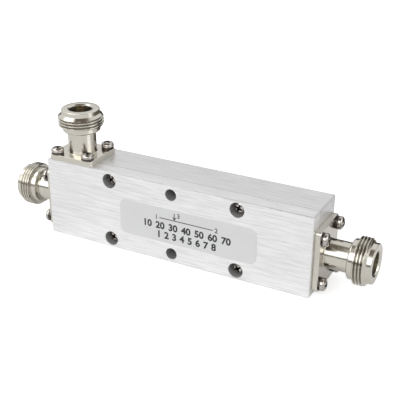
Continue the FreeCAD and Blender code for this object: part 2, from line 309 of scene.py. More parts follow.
def finish_tree(tree, end, geometry, material):
    realized = add_node(tree, "GeometryNodeRealizeInstances", {"Geometry": geometry})
    painted = add_node(tree, "GeometryNodeSetMaterial", {
        "Geometry": realized.outputs[0], "Material": material})
    tree.links.new(painted.outputs[0], end.inputs[0])


def grown(name, tree, values, base):
    """Runs a tree on a base mesh and leaves the result as the object's plain mesh."""
    piece = new_object(name, base)
    modifier = piece.modifiers.new("build", "NODES")
    modifier.node_group = tree
    for item in tree.interface.items_tree:
        if item.in_out == "INPUT" and item.name in values:
            modifier[item.identifier] = values[item.name]
    piece.data = evaluated_mesh(piece)
    piece.modifiers.remove(modifier)
    piece.data.materials.clear()
    piece.data.materials.append(values["Material"])
    for face in piece.data.polygons:
        face.material_index = 0
    return piece


def evaluated_mesh(piece):
    bpy.context.view_layer.update()
    graph = bpy.context.evaluated_depsgraph_get()
    return bpy.data.meshes.new_from_object(
        piece.evaluated_get(graph), preserve_all_data_layers=True, depsgraph=graph)


def turned_thread_tree():
    """Turns a profile round the Z axis and cuts a right-hand thread into what stands out far enough.

    The point attribute called groove holds the depth of the cut, as a share of the full depth; the
    nickel's material paints shade where it is high.
    """
    tree, start, end = new_group("turned_thread", "GeometryNodeTree", [
        ("Profile", "NodeSocketGeometry", None), ("Segments", "NodeSocketInt", 96),
        ("Crest Radius", "NodeSocketFloat", 1.0), ("Pitch", "NodeSocketFloat", 1.0),
        ("Depth", "NodeSocketFloat", 0.0), ("Flat", "NodeSocketFloat", 0.1),
        ("Material", "NodeSocketMaterial", None),
    ], [("Geometry", "NodeSocketGeometry")])
    given = start.outputs
    size = add_node(tree, "GeometryNodeAttributeDomainSize", {"Geometry": given["Profile"]})
    count = size.outputs["Point Count"]
    grid = add_node(tree, "GeometryNodeMeshGrid", {
        "Vertices X": calculate(tree, "ADD", given["Segments"], 1.0), "Vertices Y": count})
    index = tree.nodes.new("GeometryNodeInputIndex").outputs[0]
    step = calculate(tree, "FLOOR", calculate(tree, "DIVIDE", calculate(tree, "ADD", index, 0.5), count))
    row = calculate(tree, "SUBTRACT", index, calculate(tree, "MULTIPLY", step, count))
    turns = calculate(tree, "DIVIDE", step, given["Segments"])
    angle = calculate(tree, "MULTIPLY", turns, FULL_TURN)
    position = tree.nodes.new("GeometryNodeInputPosition").outputs[0]
    sample = add_node(tree, "GeometryNodeSampleIndex", data_type="FLOAT_VECTOR", domain="POINT")
    tree.links.new(given["Profile"], sample.inputs["Geometry"])
    tree.links.new(position, sample.inputs["Value"])
    tree.links.new(row, sample.inputs["Index"])
    corner = add_node(tree, "ShaderNodeSeparateXYZ", {0: sample.outputs[0]})
    radius = corner.outputs["X"]
    height = corner.outputs["Z"]
    phase = calculate(tree, "SUBTRACT", calculate(tree, "DIVIDE", height, given["Pitch"]), turns)
    wave = calculate(tree, "MULTIPLY", calculate(tree, "PINGPONG", phase, 0.5), 2.0)
    rise = calculate(tree, "SUBTRACT", wave, given["Flat"])
    flats = calculate(tree, "MULTIPLY", given["Flat"], 1.0 + ROOT_FLAT)
    room = calculate(tree, "SUBTRACT", 1.0, flats)
    groove = ranged(tree, calculate(tree, "DIVIDE", rise, room), (0.0, 1.0))
    cut = calculate(tree, "MULTIPLY", groove, given["Depth"])
    limit = calculate(tree, "SUBTRACT", given["Crest Radius"], cut)
    kept = calculate(tree, "MINIMUM", radius, limit)
    turned = add_node(tree, "ShaderNodeCombineXYZ", {
        "X": calculate(tree, "MULTIPLY", kept, calculate(tree, "COSINE", angle)),
        "Y": calculate(tree, "MULTIPLY", kept, calculate(tree, "SINE", angle)),
        "Z": height})
    share = calculate(tree, "DIVIDE", calculate(tree, "SUBTRACT", radius, kept), given["Depth"])
    marked = add_node(tree, "GeometryNodeStoreNamedAttribute", {
        "Geometry": grid.outputs[0], "Name": "groove", "Value": share},
        data_type="FLOAT", domain="POINT")
    placed = add_node(tree, "GeometryNodeSetPosition", {
        "Geometry": marked.outputs[0], "Position": turned.outputs[0]})
    merged = add_node(tree, "GeometryNodeMergeByDistance", {
        "Geometry": placed.outputs[0], "Distance": SAME_POINT})
    finish_tree(tree, end, merged.outputs[0], given["Material"])
    return tree


def set_on_points_tree():
    """Sets a piece on every point of a mesh, each turned by its own seeded amount."""
    tree, start, end = new_group("set_on_points", "GeometryNodeTree", [
        ("Points", "NodeSocketGeometry", None), ("Piece", "NodeSocketObject", None),
        ("Highest Turn", "NodeSocketFloat", FULL_TURN / 4), ("Seed", "NodeSocketInt", 1),
        ("Material", "NodeSocketMaterial", None),
    ], [("Geometry", "NodeSocketGeometry")])
    given = start.outputs
    piece = add_node(tree, "GeometryNodeObjectInfo", {"Object": given["Piece"]})
    turn = add_node(tree, "FunctionNodeRandomValue", data_type="FLOAT")
    tree.links.new(given["Highest Turn"], turn.inputs[3])
    tree.links.new(given["Seed"], turn.inputs["Seed"])
    rotation = add_node(tree, "ShaderNodeCombineXYZ", {"Z": turn.outputs[1]})
    points = add_node(tree, "GeometryNodeMeshToPoints", {"Mesh": given["Points"]})
    placed = add_node(tree, "GeometryNodeInstanceOnPoints", {
        "Points": points.outputs[0], "Instance": piece.outputs["Geometry"],
        "Rotation": rotation.outputs[0]})
    finish_tree(tree, end, placed.outputs[0], given["Material"])
    return tree


def lock_washer_tree():
    """Bends a bar of rounded section into a split ring and sets one on every point."""
    tree, start, end = new_group("lock_washers", "GeometryNodeTree", [
        ("Points", "NodeSocketGeometry", None), ("Outer Radius", "NodeSocketFloat", 2.0),
        ("Inner Radius", "NodeSocketFloat", 1.0), ("Thickness", "NodeSocketFloat", 0.5),
        ("Break", "NodeSocketFloat", 0.1), ("Gap", "NodeSocketFloat", 0.2),
        ("Lean", "NodeSocketFloat", 0.2), ("Seed", "NodeSocketInt", 1),
        ("Material", "NodeSocketMaterial", None),
    ], [("Geometry", "NodeSocketGeometry")])
    given = start.outputs
    total = calculate(tree, "ADD", given["Outer Radius"], given["Inner Radius"])
    width = calculate(tree, "SUBTRACT", given["Outer Radius"], given["Inner Radius"])
    arc = add_node(tree, "GeometryNodeCurveArc", {
        "Resolution": WASHER_STEPS, "Radius": calculate(tree, "DIVIDE", total, 2.0),
        "Sweep Angle": calculate(tree, "SUBTRACT", FULL_TURN, given["Gap"])}, mode="RADIUS")
    section = add_node(tree, "GeometryNodeCurvePrimitiveQuadrilateral", {
        "Width": width, "Height": given["Thickness"]}, mode="RECTANGLE")
    rounded = add_node(tree, "GeometryNodeFilletCurve", {
        "Curve": section.outputs[0], "Radius": given["Break"]}, mode="POLY")
    bar = add_node(tree, "GeometryNodeCurveToMesh", {
        "Curve": arc.outputs[0], "Profile Curve": rounded.outputs[0], "Fill Caps": True})
    position = tree.nodes.new("GeometryNodeInputPosition").outputs[0]
    height = add_node(tree, "ShaderNodeSeparateXYZ", {0: position}).outputs["Z"]
    share = calculate(tree, "DIVIDE", height, given["Thickness"])
    slanted = add_node(tree, "ShaderNodeVectorRotate", {
        "Vector": position, "Angle": calculate(tree, "MULTIPLY", share, given["Lean"])},
        rotation_type="Z_AXIS")
    lifted = add_node(tree, "ShaderNodeCombineXYZ", {
        "Z": calculate(tree, "DIVIDE", given["Thickness"], 2.0)})
    ring = add_node(tree, "GeometryNodeSetPosition", {
        "Geometry": bar.outputs[0], "Position": slanted.outputs[0], "Offset": lifted.outputs[0]})
    turn = add_node(tree, "FunctionNodeRandomValue", data_type="FLOAT")
    turn.inputs[3].default_value = FULL_TURN
    tree.links.new(given["Seed"], turn.inputs["Seed"])
    rotation = add_node(tree, "ShaderNodeCombineXYZ", {"Z": turn.outputs[1]})
    points = add_node(tree, "GeometryNodeMeshToPoints", {"Mesh": given["Points"]})
    placed = add_node(tree, "GeometryNodeInstanceOnPoints", {
        "Points": points.outputs[0], "Instance": ring.outputs[0], "Rotation": rotation.outputs[0]})
    finish_tree(tree, end, placed.outputs[0], given["Material"])
    return tree


# Profiles and outlines

def rounded_path(corners, arc_steps=5):
    """Points of a path of (radius, height, rounding) corners, with an arc at each rounded corner."""
    points = []
    for index, (radius, height, rounding) in enumerate(corners):
        here = Vector((radius, 0, height))
        if rounding == 0:
            points.append(here)
            continue
        before = Vector((corners[index - 1][0], 0, corners[index - 1][1])) - here
        after = Vector((corners[index + 1][0], 0, corners[index + 1][1])) - here
        half = before.angle(after) / 2
        reach = rounding / math.tan(half)
        centre = here + (before.normalized() + after.normalized()).normalized() * rounding / math.sin(half)
        first = here + before.normalized() * reach - centre
        last = here + after.normalized() * reach - centre
        for step in range(arc_steps + 1):
            points.append(centre + first.lerp(last, step / arc_steps).normalized() * rounding)
    return points


def divided(points, least_radius, longest):
    """Adds points outside a radius so that no step there is longer than a given length."""
    result = [points[0]]
    for before, after in zip(points, points[1:]):
        outside = (before.x + after.x) / 2 > least_radius
        steps = max(1, math.ceil((after - before).length / longest)) if outside else 1
        for step in range(1, steps + 1):
            result.append(before.lerp(after, step / steps))
    return result


def path_mesh(name, points):
    mesh = bpy.data.meshes.new(name)
    mesh.from_pydata(points, [(index, index + 1) for index in range(len(points) - 1)], [])
    return mesh


def point_mesh(name, points):
    mesh = bpy.data.meshes.new(name)
    mesh.from_pydata(points, [], [])
    return mesh


def sheet_mesh(name, width, depth):
    mesh = bpy.data.meshes.new(name)
    signs = ((-1, -1), (1, -1), (1, 1), (-1, 1))
    corners = [Vector((x * width / 2, y * depth / 2, 0)) for x, y in signs]
    mesh.from_pydata(corners, [], [(0, 1, 2, 3)])
    return mesh


def corners_of(width, depth, height):
    return [Vector((side * width / 2, end * depth / 2, height)) for side in (-1, 1) for end in (-1, 1)]


def ring_points(centre_x, centre_y, radius, height, count):
    angles = [FULL_TURN * index / count for index in range(count)]
    return [Vector((centre_x + radius * math.cos(angle), centre_y + radius * math.sin(angle), height))
            for angle in angles]


def plate_points(width, depth, corner, height, arc_steps=8):
    points = []
    for quarter, (side, end) in enumerate(((1, 1), (-1, 1), (-1, -1), (1, -1))):
        centre_x = side * (width / 2 - corner)
        centre_y = end * (depth / 2 - corner)
        for step in range(arc_steps + 1):
            angle = FULL_TURN / 4 * (quarter + step / arc_steps)
            points.append(Vector((
                centre_x + corner * math.cos(angle), centre_y + corner * math.sin(angle), height)))
    return points


def add_ring(mesh, points):
    return [mesh.verts.new(point) for point in points]


def join_rings(mesh, rings):
    for lower, upper in zip(rings, rings[1:]):
        for index in range(len(lower)):
            mesh.faces.new((lower[index - 1], lower[index], upper[index], upper[index - 1]))


def close_ends(mesh, rings):
    """Walls between two rings, and a face on each of them."""
    join_rings(mesh, rings)
    mesh.faces.new(rings[0])
    mesh.faces.new(rings[1])


def fill_between(mesh, rings):
    """Fills the flat area inside the first ring and outside the others."""
    edges = []
    for ring in rings:
        for index in range(len(ring)):
            pair = (ring[index - 1], ring[index])
            edges.append(mesh.edges.get(pair) or mesh.edges.new(pair))
    bmesh.ops.triangle_fill(mesh, use_beauty=True, use_dissolve=False, edges=edges)


def close_mesh(mesh, target):
    """Merges doubles, turns the faces outward and marks the sharp edges."""
    bmesh.ops.remove_doubles(mesh, verts=mesh.verts, dist=SAME_POINT)
    bmesh.ops.recalc_face_normals(mesh, faces=mesh.faces)
    for face in mesh.faces:
        face.smooth = True
    for edge in mesh.edges:
        edge.smooth = len(edge.link_faces) == 2 and edge.calc_face_angle() < SHARP_ANGLE
    mesh.to_mesh(target)
    mesh.free()


# Places of the jacks

def port_place(name):
    """Matrix from a jack's own frame, with +Z outward from the block's face, to the part's frame."""
    mount = mounts[name + "_thread"]
    axis = Vector(mount["axis"])
    middle = Vector(mount["pos_m"])
    face = min(axis.dot(corner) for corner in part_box(name + "_connector_shell"))
    turn = Matrix.Rotation(math.atan2(axis.x, axis.z), 4, "Y")
    return Matrix.Translation(middle + axis * (face - axis.dot(middle))) @ turn


def box_in(place, node):
    """Lowest and highest corner of a node in the frame that a matrix gives."""
    back = place.inverted()
    first, second = [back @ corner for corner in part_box(node)]
    low = Vector([min(pair) for pair in zip(first, second)])
    high = Vector([max(pair) for pair in zip(first, second)])
    return low, high


def screw_places(place, node, head_diameter, height):
    low, high = box_in(place, node)
    width = high.x - low.x - head_diameter
    depth = high.y - low.y - head_diameter
    return corners_of(width, depth, height)


# Materials

def new_material(name, kind="ShaderNodeBsdfPrincipled"):
    material = bpy.data.materials.new(name)
    material.use_nodes = True
    tree = material.node_tree
    tree.nodes.clear()
    shader = tree.nodes.new(kind)
    output = tree.nodes.new("ShaderNodeOutputMaterial")
    tree.links.new(shader.outputs[0], output.inputs["Surface"])
    return material, tree, shader


def brushed_grain_group(name):
    """Fine lines along X, and along Y on the end faces, with slow broad changes of tone."""
    end_slope = 0.7
    broad_scale = (0.5, 0.09, 0.09)
    tree, start, end = new_group(name, "ShaderNodeTree", [
        ("Position", "NodeSocketVector", None), ("Normal", "NodeSocketVector", None),
        ("Spacing", "NodeSocketFloat", 0.0003), ("Length", "NodeSocketFloat", 0.03),
    ], [("Streak", "NodeSocketFloat"), ("Tone", "NodeSocketFloat")])
    given = start.outputs
    across = calculate(tree, "DIVIDE", 1.0, given["Spacing"])
    along = calculate(tree, "DIVIDE", 1.0, given["Length"])
    long_faces = add_node(tree, "ShaderNodeCombineXYZ", {"X": along, "Y": across, "Z": across})
    end_faces = add_node(tree, "ShaderNodeCombineXYZ", {"X": across, "Y": along, "Z": across})
    facing = add_node(tree, "ShaderNodeSeparateXYZ", {0: given["Normal"]}).outputs["X"]
    is_end = calculate(tree, "GREATER_THAN", calculate(tree, "ABSOLUTE", facing), end_slope)
    scale = add_node(tree, "ShaderNodeMix", {"Factor": is_end}, data_type="VECTOR")
    tree.links.new(long_faces.outputs[0], scale.inputs[4])
    tree.links.new(end_faces.outputs[0], scale.inputs[5])
    stretched = add_node(tree, "ShaderNodeVectorMath", {
        0: given["Position"], 1: scale.outputs[1]}, operation="MULTIPLY")
    fine = add_node(tree, "ShaderNodeTexNoise", {
        "Vector": stretched.outputs[0], "Scale": 1.0, "Detail": 3.0, "Roughness": 0.62})
    wide = add_node(tree, "ShaderNodeVectorMath", {
        0: stretched.outputs[0], 1: broad_scale}, operation="MULTIPLY")
    broad = add_node(tree, "ShaderNodeTexNoise", {
        "Vector": wide.outputs[0], "Scale": 1.0, "Detail": 1.0})
    tree.links.new(fine.outputs[0], end.inputs["Streak"])
    tree.links.new(broad.outputs[0], end.inputs["Tone"])
    return tree


def shaded_faces_group(name):
    """Masks for painted shade: one inside a box's holes, which also holds the dark line along its seam,
    and one on its long broken edges.
    """
    along_limit = 0.3
    level_limit = 0.9
    tree, start, end = new_group(name, "ShaderNodeTree", [
        ("Position", "NodeSocketVector", None), ("Normal", "NodeSocketVector", None),
        ("Centre", "NodeSocketVector", None), ("Inner Half", "NodeSocketVector", None),
        ("Seam", "NodeSocketFloat", 0.0), ("Seam Width", "NodeSocketFloat", 0.0002),
    ], [("Mask", "NodeSocketFloat"), ("Edge", "NodeSocketFloat")])
    given = start.outputs
    # Long broken edges, which take painted shade
    slope = add_node(tree, "ShaderNodeVectorMath", {0: given["Normal"]}, operation="ABSOLUTE")
    sides = add_node(tree, "ShaderNodeSeparateXYZ", {0: slope.outputs[0]}).outputs
    level = calculate(tree, "MAXIMUM", sides["Y"], sides["Z"])
    is_long = calculate(tree, "LESS_THAN", sides["X"], along_limit)
    edge = calculate(tree, "MULTIPLY", is_long, calculate(tree, "LESS_THAN", level, level_limit))
    tree.links.new(edge, end.inputs["Edge"])
    # Inside the holes, where shade is painted, or on the dark line of the seam
    apart = add_node(tree, "ShaderNodeVectorMath", {
        0: given["Position"], 1: given["Centre"]}, operation="SUBTRACT")
    reach = add_node(tree, "ShaderNodeVectorMath", {0: apart.outputs[0]}, operation="ABSOLUTE")
    beyond = add_node(tree, "ShaderNodeVectorMath", {
        0: reach.outputs[0], 1: given["Inner Half"]}, operation="SUBTRACT")
    axes = add_node(tree, "ShaderNodeSeparateXYZ", {0: beyond.outputs[0]}).outputs
    furthest = calculate(tree, "MAXIMUM", calculate(tree, "MAXIMUM", axes["X"], axes["Y"]), axes["Z"])
    inside = calculate(tree, "LESS_THAN", furthest, 0.0)
    depth = add_node(tree, "ShaderNodeSeparateXYZ", {0: given["Position"]}).outputs["Y"]
    distance = calculate(tree, "ABSOLUTE", calculate(tree, "SUBTRACT", depth, given["Seam"]))
    seam = calculate(tree, "LESS_THAN", calculate(tree, "MULTIPLY", distance, 2.0), given["Seam Width"])
    tree.links.new(calculate(tree, "MAXIMUM", inside, seam), end.inputs["Mask"])
    return tree


def mottle_group(name):
    """Soft uneven tone, as on plated, moulded and rolled surfaces, and a finer one for relief."""
    times_finer = 9.0
    tree, start, end = new_group(name, "ShaderNodeTree", [
        ("Position", "NodeSocketVector", None), ("Size", "NodeSocketFloat", 0.002),
    ], [("Value", "NodeSocketFloat"), ("Fine", "NodeSocketFloat")])
    given = start.outputs
    scale = calculate(tree, "DIVIDE", 1.0, given["Size"])
    finer_scale = calculate(tree, "MULTIPLY", scale, times_finer)
    noise = add_node(tree, "ShaderNodeTexNoise", {
        "Vector": given["Position"], "Scale": scale, "Detail": 2.0})
    fine = add_node(tree, "ShaderNodeTexNoise", {
        "Vector": given["Position"], "Scale": finer_scale, "Detail": 3.0})
    tree.links.new(ranged(tree, noise.outputs[0], (0.0, 1.0), NOISE_RANGE), end.inputs["Value"])
    tree.links.new(fine.outputs[0], end.inputs["Fine"])
    return tree


def mask_shade_group(name):
    """Factor that goes from one to a shade as a mask goes from zero to one."""
    tree, start, end = new_group(name, "ShaderNodeTree", [
        ("Mask", "NodeSocketFloat", 0.0), ("Shade", "NodeSocketFloat", 1.0),
    ], [("Factor", "NodeSocketFloat")])
    given = start.outputs
    tree.links.new(ranged(tree, given["Mask"], (1.0, given["Shade"])), end.inputs["Factor"])
    return tree


def shade_where(tree, mask, shade):
    """Factor by which a surface is darker where a mask is one."""
    group = group_once("mask_shade", mask_shade_group)
    node = add_node(tree, "ShaderNodeGroup", {"Mask": mask, "Shade": shade}, node_tree=group)
    return node.outputs[0]


def tinted(tree, colour, factor):
    """Colour multiplied by a value that changes over the surface."""
    mix = add_node(tree, "ShaderNodeVectorMath", {0: tuple(colour)}, operation="SCALE")
    tree.links.new(factor, mix.inputs["Scale"])
    return mix.outputs[0]


def brushed_aluminium_and_painted_shade(name, block, colour):
    """Brushed finish with painted shade inside the holes and on the long broken edges, and a dark line
    along the seam.
    """
    smoother = 0.06
    rougher = 0.08
    broad_contrast = block.grain_contrast / 6
    material, tree, shader = new_material(name)
    place = tree.nodes.new("ShaderNodeTexCoord").outputs
    grain = add_node(tree, "ShaderNodeGroup", {
        "Position": place["Object"], "Normal": place["Normal"],
        "Spacing": block.grain_spacing, "Length": block.grain_length,
    }, node_tree=group_once("brushed_grain", brushed_grain_group)).outputs
    cover_low, cover_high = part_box("cover")
    housing_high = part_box("housing")[1]
    rim = Vector((1, 1, 1)) * block.inner_depth
    faces = add_node(tree, "ShaderNodeGroup", {
        "Position": place["Object"], "Normal": place["Normal"],
        "Centre": (cover_low + housing_high) / 2,
        "Inner Half": (housing_high - cover_low) / 2 - rim,
        "Seam": cover_high.y, "Seam Width": block.seam_width,
    }, node_tree=group_once("shaded_faces", shaded_faces_group)).outputs
    tone = ranged(tree, grain["Streak"], (1.0 - block.grain_contrast, 1.0), STREAK_RANGE)
    broad = ranged(tree, grain["Tone"], (1.0 - broad_contrast, 1.0), NOISE_RANGE)
    # Painted shade on the hole walls; the same mask darkens the seam line
    shade = shade_where(tree, faces["Mask"], block.inner_painted_shade_and_seam)
    # Painted shade on the long broken edges
    painted_edge_shade = shade_where(tree, faces["Edge"], block.edge_painted_shade)
    grained = calculate(tree, "MULTIPLY", tone, broad)
    factor = calculate(tree, "MULTIPLY", grained, calculate(tree, "MINIMUM", shade, painted_edge_shade))
    tree.links.new(tinted(tree, colour, factor), shader.inputs["Base Color"])
    roughness = (block.roughness - smoother, block.roughness + rougher)
    tree.links.new(ranged(tree, grain["Streak"], roughness, NOISE_RANGE), shader.inputs["Roughness"])
    bump = add_node(tree, "ShaderNodeBump", {
        "Height": grain["Streak"], "Distance": block.grain_height, "Strength": 0.55})
    tree.links.new(bump.outputs[0], shader.inputs["Normal"])
    # Hole walls and seam are not metallic, so that their painted shade reads as a flat dark grey
    polished = calculate(tree, "SUBTRACT", 1.0, faces["Mask"])
    tree.links.new(polished, shader.inputs["Metallic"])
    return material


def mottled(name, colour, size, roughness, spread, metallic=0.0, bump=0.0, contrast=0.06,
            hollow=None, hollow_painted_shade=1.0):
    """Finish with a soft mottle, and painted shade where the hollow attribute is one."""
    least_roughness = 0.02
    material, tree, shader = new_material(name)
    place = tree.nodes.new("ShaderNodeTexCoord").outputs
    mottle = add_node(tree, "ShaderNodeGroup", {
        "Position": place["Object"], "Size": size,
    }, node_tree=group_once("soft_mottle", mottle_group)).outputs
    factor = ranged(tree, mottle["Value"], (1.0 - contrast, 1.0))
    # Painted shade in hollows, such as the roots of a thread or a screw's cross recess
    if hollow:
        marked = add_node(tree, "ShaderNodeAttribute", attribute_name=hollow)
        darker = shade_where(tree, marked.outputs["Fac"], hollow_painted_shade)
        factor = calculate(tree, "MULTIPLY", factor, darker)
    tree.links.new(tinted(tree, colour, factor), shader.inputs["Base Color"])
    span = (max(least_roughness, roughness - spread), roughness + spread)
    tree.links.new(ranged(tree, mottle["Value"], span), shader.inputs["Roughness"])
    if bump:
        relief = add_node(tree, "ShaderNodeBump", {
            "Height": mottle["Fine"], "Distance": bump, "Strength": 0.5})
        tree.links.new(relief.outputs[0], shader.inputs["Normal"])
    shader.inputs["Metallic"].default_value = metallic
    return material


def dress(node, material):
    """Gives a construction node its finish."""
    keeper = frame["nodes"][node]
    if not keeper.material_slots:
        keeper.data.materials.append(material)
    for slot in keeper.material_slots:
        slot.material = material


def stand_for(piece, node):
    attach(piece, "root")
    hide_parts(node)


def remove_object(piece):
    mesh = piece.data
    bpy.data.objects.remove(piece)
    if mesh.users == 0:
        bpy.data.meshes.remove(mesh)


# Pieces

class DressBlock(bpy.types.Operator):
    """Gives the housing and the cover their brushed finish, with painted shade in the holes and on the
    long edges, and a dark seam line
    """
    bl_idname = "coupler.dress_block"
    bl_label = "Block finish"

    def execute(self, context):
        block = scene_settings()["block"]
        dress("housing", brushed_aluminium_and_painted_shade("brushed_housing_and_painted_shade", block, block.housing_tone))
        dress("cover", brushed_aluminium_and_painted_shade("brushed_cover_and_painted_shade", block, block.cover_tone))
        return {"FINISHED"}


class DressInside(bpy.types.Operator):
    """Gives the lines, supports, resistor, insulators and contacts their finishes"""
    bl_idname = "coupler.dress_inside"
    bl_label = "Inner finishes"

    def execute(self, context):
        inside = scene_settings()["inside"]
        silvered = mottled(
            "silvered_line", inside.line, size=4 * MM, roughness=0.25, spread=0.06, metallic=1.0,
            bump=0.004 * MM)
        plastic = mottled(
            "white_plastic", inside.insulator, size=3 * MM, roughness=0.42, spread=0.06, bump=0.01 * MM)
        ceramic = mottled(
            "fired_ceramic", inside.ceramic, size=1 * MM, roughness=0.5, spread=0.08, bump=0.02 * MM)
        gold = mottled(
            "gilt_contact", inside.contact, size=2 * MM, roughness=0.2, spread=0.05, metallic=1.0,
            bump=0.003 * MM)
        dress("main_line", silvered)
        dress("coupled_line", silvered)
        dress("line_supports", plastic)
        dress("load_resistor", ceramic)
        for port in port_names:
            dress(port + "_insulator", plastic)
            dress(port + "_centre_contact", gold)
        return {"FINISHED"}


def jack_profile(jack, thread_foot, thread_top, crest, reach):
    """Path up the outside of the barrel from the flange, round the rim and down the bore."""
    neck = jack.neck_diameter / 2
    collar = jack.collar_diameter / 2
    mouth = jack.mouth_diameter / 2
    bore = jack.bore_diameter / 2
    seat = jack.seat_diameter / 2
    collar_foot = thread_foot - jack.rear_collar_length
    cone_top = reach - jack.front_collar_length
    reference = reach - jack.reference_depth
    small = 0.08 * MM
    lead_in = 3 * small
    # A little under the full fillet, so that its arc begins past the path's first point
    fillet = jack.neck_fillet * 0.98
    corners = [
        (neck + jack.neck_fillet, jack.flange_thickness, 0), (neck, jack.flange_thickness, fillet),
        (neck, collar_foot, small), (collar, collar_foot, jack.rear_collar_round),
        (collar, thread_foot, small), (crest, thread_foot, lead_in), (crest, thread_top, small),
        (collar, cone_top, small), (collar, reach, jack.front_round),
        (mouth + jack.mouth_chamfer, reach, small), (mouth, reach - jack.mouth_chamfer, small),
        (mouth, reference, small), (bore, reference, small), (bore, jack.seat_depth, 0),
        (seat, jack.seat_depth, 0), (seat, 0, 0),
    ]
    return divided(rounded_path(corners), crest - jack.thread_depth, jack.thread_pitch / PITCH_STEPS)


def add_flange(mesh, jack, width, depth, holes):
    """Flange plate whose inner rings meet the foot of the neck and the rear of the bore."""
    thickness = jack.flange_thickness
    edge = jack.flange_break
    levels = ((0, edge), (edge, 0), (thickness - edge, 0), (thickness, edge))
    outline = []
    for height, inset in levels:
        points = plate_points(width - 2 * inset, depth - 2 * inset, jack.flange_corner - inset, height)
        outline.append(add_ring(mesh, points))
    join_rings(mesh, outline)
    rear = [outline[0]]
    front = [outline[-1]]
    for hole in holes:
        rings = []
        for height, inset in levels:
            radius = jack.clearance_diameter / 2 + inset
            rings.append(add_ring(mesh, ring_points(hole.x, hole.y, radius, height, HOLE_STEPS)))
        join_rings(mesh, rings)
        rear.append(rings[0])
        front.append(rings[-1])
    foot = jack.neck_diameter / 2 + jack.neck_fillet
    rear.append(add_ring(mesh, ring_points(0, 0, jack.seat_diameter / 2, 0, jack.segments)))
    front.append(add_ring(mesh, ring_points(0, 0, foot, thickness, jack.segments)))
    fill_between(mesh, rear)
    fill_between(mesh, front)


class MakeJacks(bpy.types.Operator):
    """Builds the three jack shells, each turned with its thread and flange as one piece"""
    bl_idname = "coupler.make_jacks"
    bl_label = "Jack shells"

    def execute(self, context):
        settings = scene_settings()
        jack = settings["jack"]
        # The nickel paints shade in the roots of the thread
        nickel = mottled(
            "bright_nickel_and_painted_shade", jack.nickel, size=6 * MM, roughness=jack.nickel_roughness, spread=0.03,
            metallic=1.0, bump=0.004 * MM, contrast=0.04, hollow="groove",
            hollow_painted_shade=jack.groove_painted_shade)
        tree = turned_thread_tree()
        for port in port_names:
            place = port_place(port)
            back = place.inverted()
            mount = mounts[port + "_thread"]
            middle = (back @ Vector(mount["pos_m"])).z
            half = mount["dims"]["length_mm"] * MM / 2
            crest = mount["dims"]["r_mm"] * MM
            low, high = box_in(place, port + "_connector_shell")
            holes = screw_places(
                place, port + "_flange_screws", settings["fastener"].head_diameter, 0)
            profile = jack_profile(jack, middle - half, middle + half, crest, high.z)
            barrel = grown(port + "_barrel", tree, {
                "Segments": jack.segments, "Crest Radius": crest, "Pitch": jack.thread_pitch,
                "Depth": jack.thread_depth, "Flat": jack.thread_flat, "Material": nickel,
            }, path_mesh(port + "_profile", profile))
            joined = opened(barrel.data)
            add_flange(joined, jack, high.x - low.x, high.y - low.y, holes)
            close_mesh(joined, barrel.data)
            barrel.data.transform(place)
            barrel.name = port + "_jack"
            stand_for(barrel, port + "_connector_shell")
        return {"FINISHED"}


def wedge(mesh, turn, top, low, spans, widths):
    """Wing of the recess cutter: spans and widths are given at the top and at the floor."""
    rotation = Matrix.Rotation(turn, 3, "Z")
    outline = ((1, 1), (-1, 1), (-1, -1), (1, -1))
    rings = []
    for height, span, width in zip((top, low), spans, widths):
        points = [rotation @ Vector((x * span / 2, y * width / 2, height)) for x, y in outline]
        rings.append(add_ring(mesh, points))
    close_ends(mesh, rings)


def screw_profile(fastener, length):
    """Path from the tip of the shank up to the top of the domed head."""
    shank = fastener.shank_diameter / 2
    head = fastener.head_diameter / 2
    wall = fastener.head_wall
    dome = fastener.head_height - wall
    tip_round = 0.2 * MM
    rim_round = 0.1 * MM
    outline = rounded_path([
        (0, -length, 0), (shank, -length, tip_round), (shank, 0, 0), (head, 0, rim_round),
        (head, wall, 0)])
    for step in range(1, DOME_STEPS + 1):
        angle = FULL_TURN / 4 * step / DOME_STEPS
        outline.append(Vector((head * math.cos(angle), 0, wall + dome * math.sin(angle))))
    outline[-1].x = 0
    return outline


def recess_blade(name, fastener):
    """Cutter for the cross recess: two tapered wings, and a square core turned between them."""
    above_head = 0.2 * MM
    flare = 0.3 * MM
    core_drop = 0.1 * MM
    wing = fastener.recess_width
    top = fastener.head_height + above_head
    floor = fastener.head_height - fastener.recess_depth
    spans = (fastener.recess_span + flare, fastener.recess_floor_span)
    widths = (wing, wing * 0.7)
    core = (wing * 2.1, wing * 0.9)
    cutter = bmesh.new()
    for turn in (0, FULL_TURN / 4):
        wedge(cutter, turn, top, floor, spans, widths)
    wedge(cutter, FULL_TURN / 8, top, floor - core_drop, core, core)
    bmesh.ops.recalc_face_normals(cutter, faces=cutter.faces)
    mesh = bpy.data.meshes.new(name)
    cutter.to_mesh(mesh)
    cutter.free()
    return new_object(name, mesh)


def pan_screw(name, fastener, length, tree, steel):
    """One pan-head screw with a cross recess, its seat at height zero."""
    # The crest lies outside the head and the depth is zero, so no thread is cut
    screw = grown(name, tree, {
        "Segments": fastener.segments, "Crest Radius": fastener.head_diameter,
        "Pitch": fastener.head_diameter / 2, "Depth": 0.0, "Material": steel,
    }, path_mesh(name + "_profile", screw_profile(fastener, length)))
    close_mesh(opened(screw.data), screw.data)
    blade = recess_blade(name + "_recess", fastener)
    modifier = screw.modifiers.new("recess", "BOOLEAN")
    modifier.object = blade
    modifier.operation = "DIFFERENCE"
    modifier.solver = "EXACT"
    modifier.use_self = True
    screw.data = evaluated_mesh(screw)
    screw.modifiers.remove(modifier)
    remove_object(blade)
    body = opened(screw.data)
    mark_recess(body, fastener)
    close_mesh(body, screw.data)
    return screw


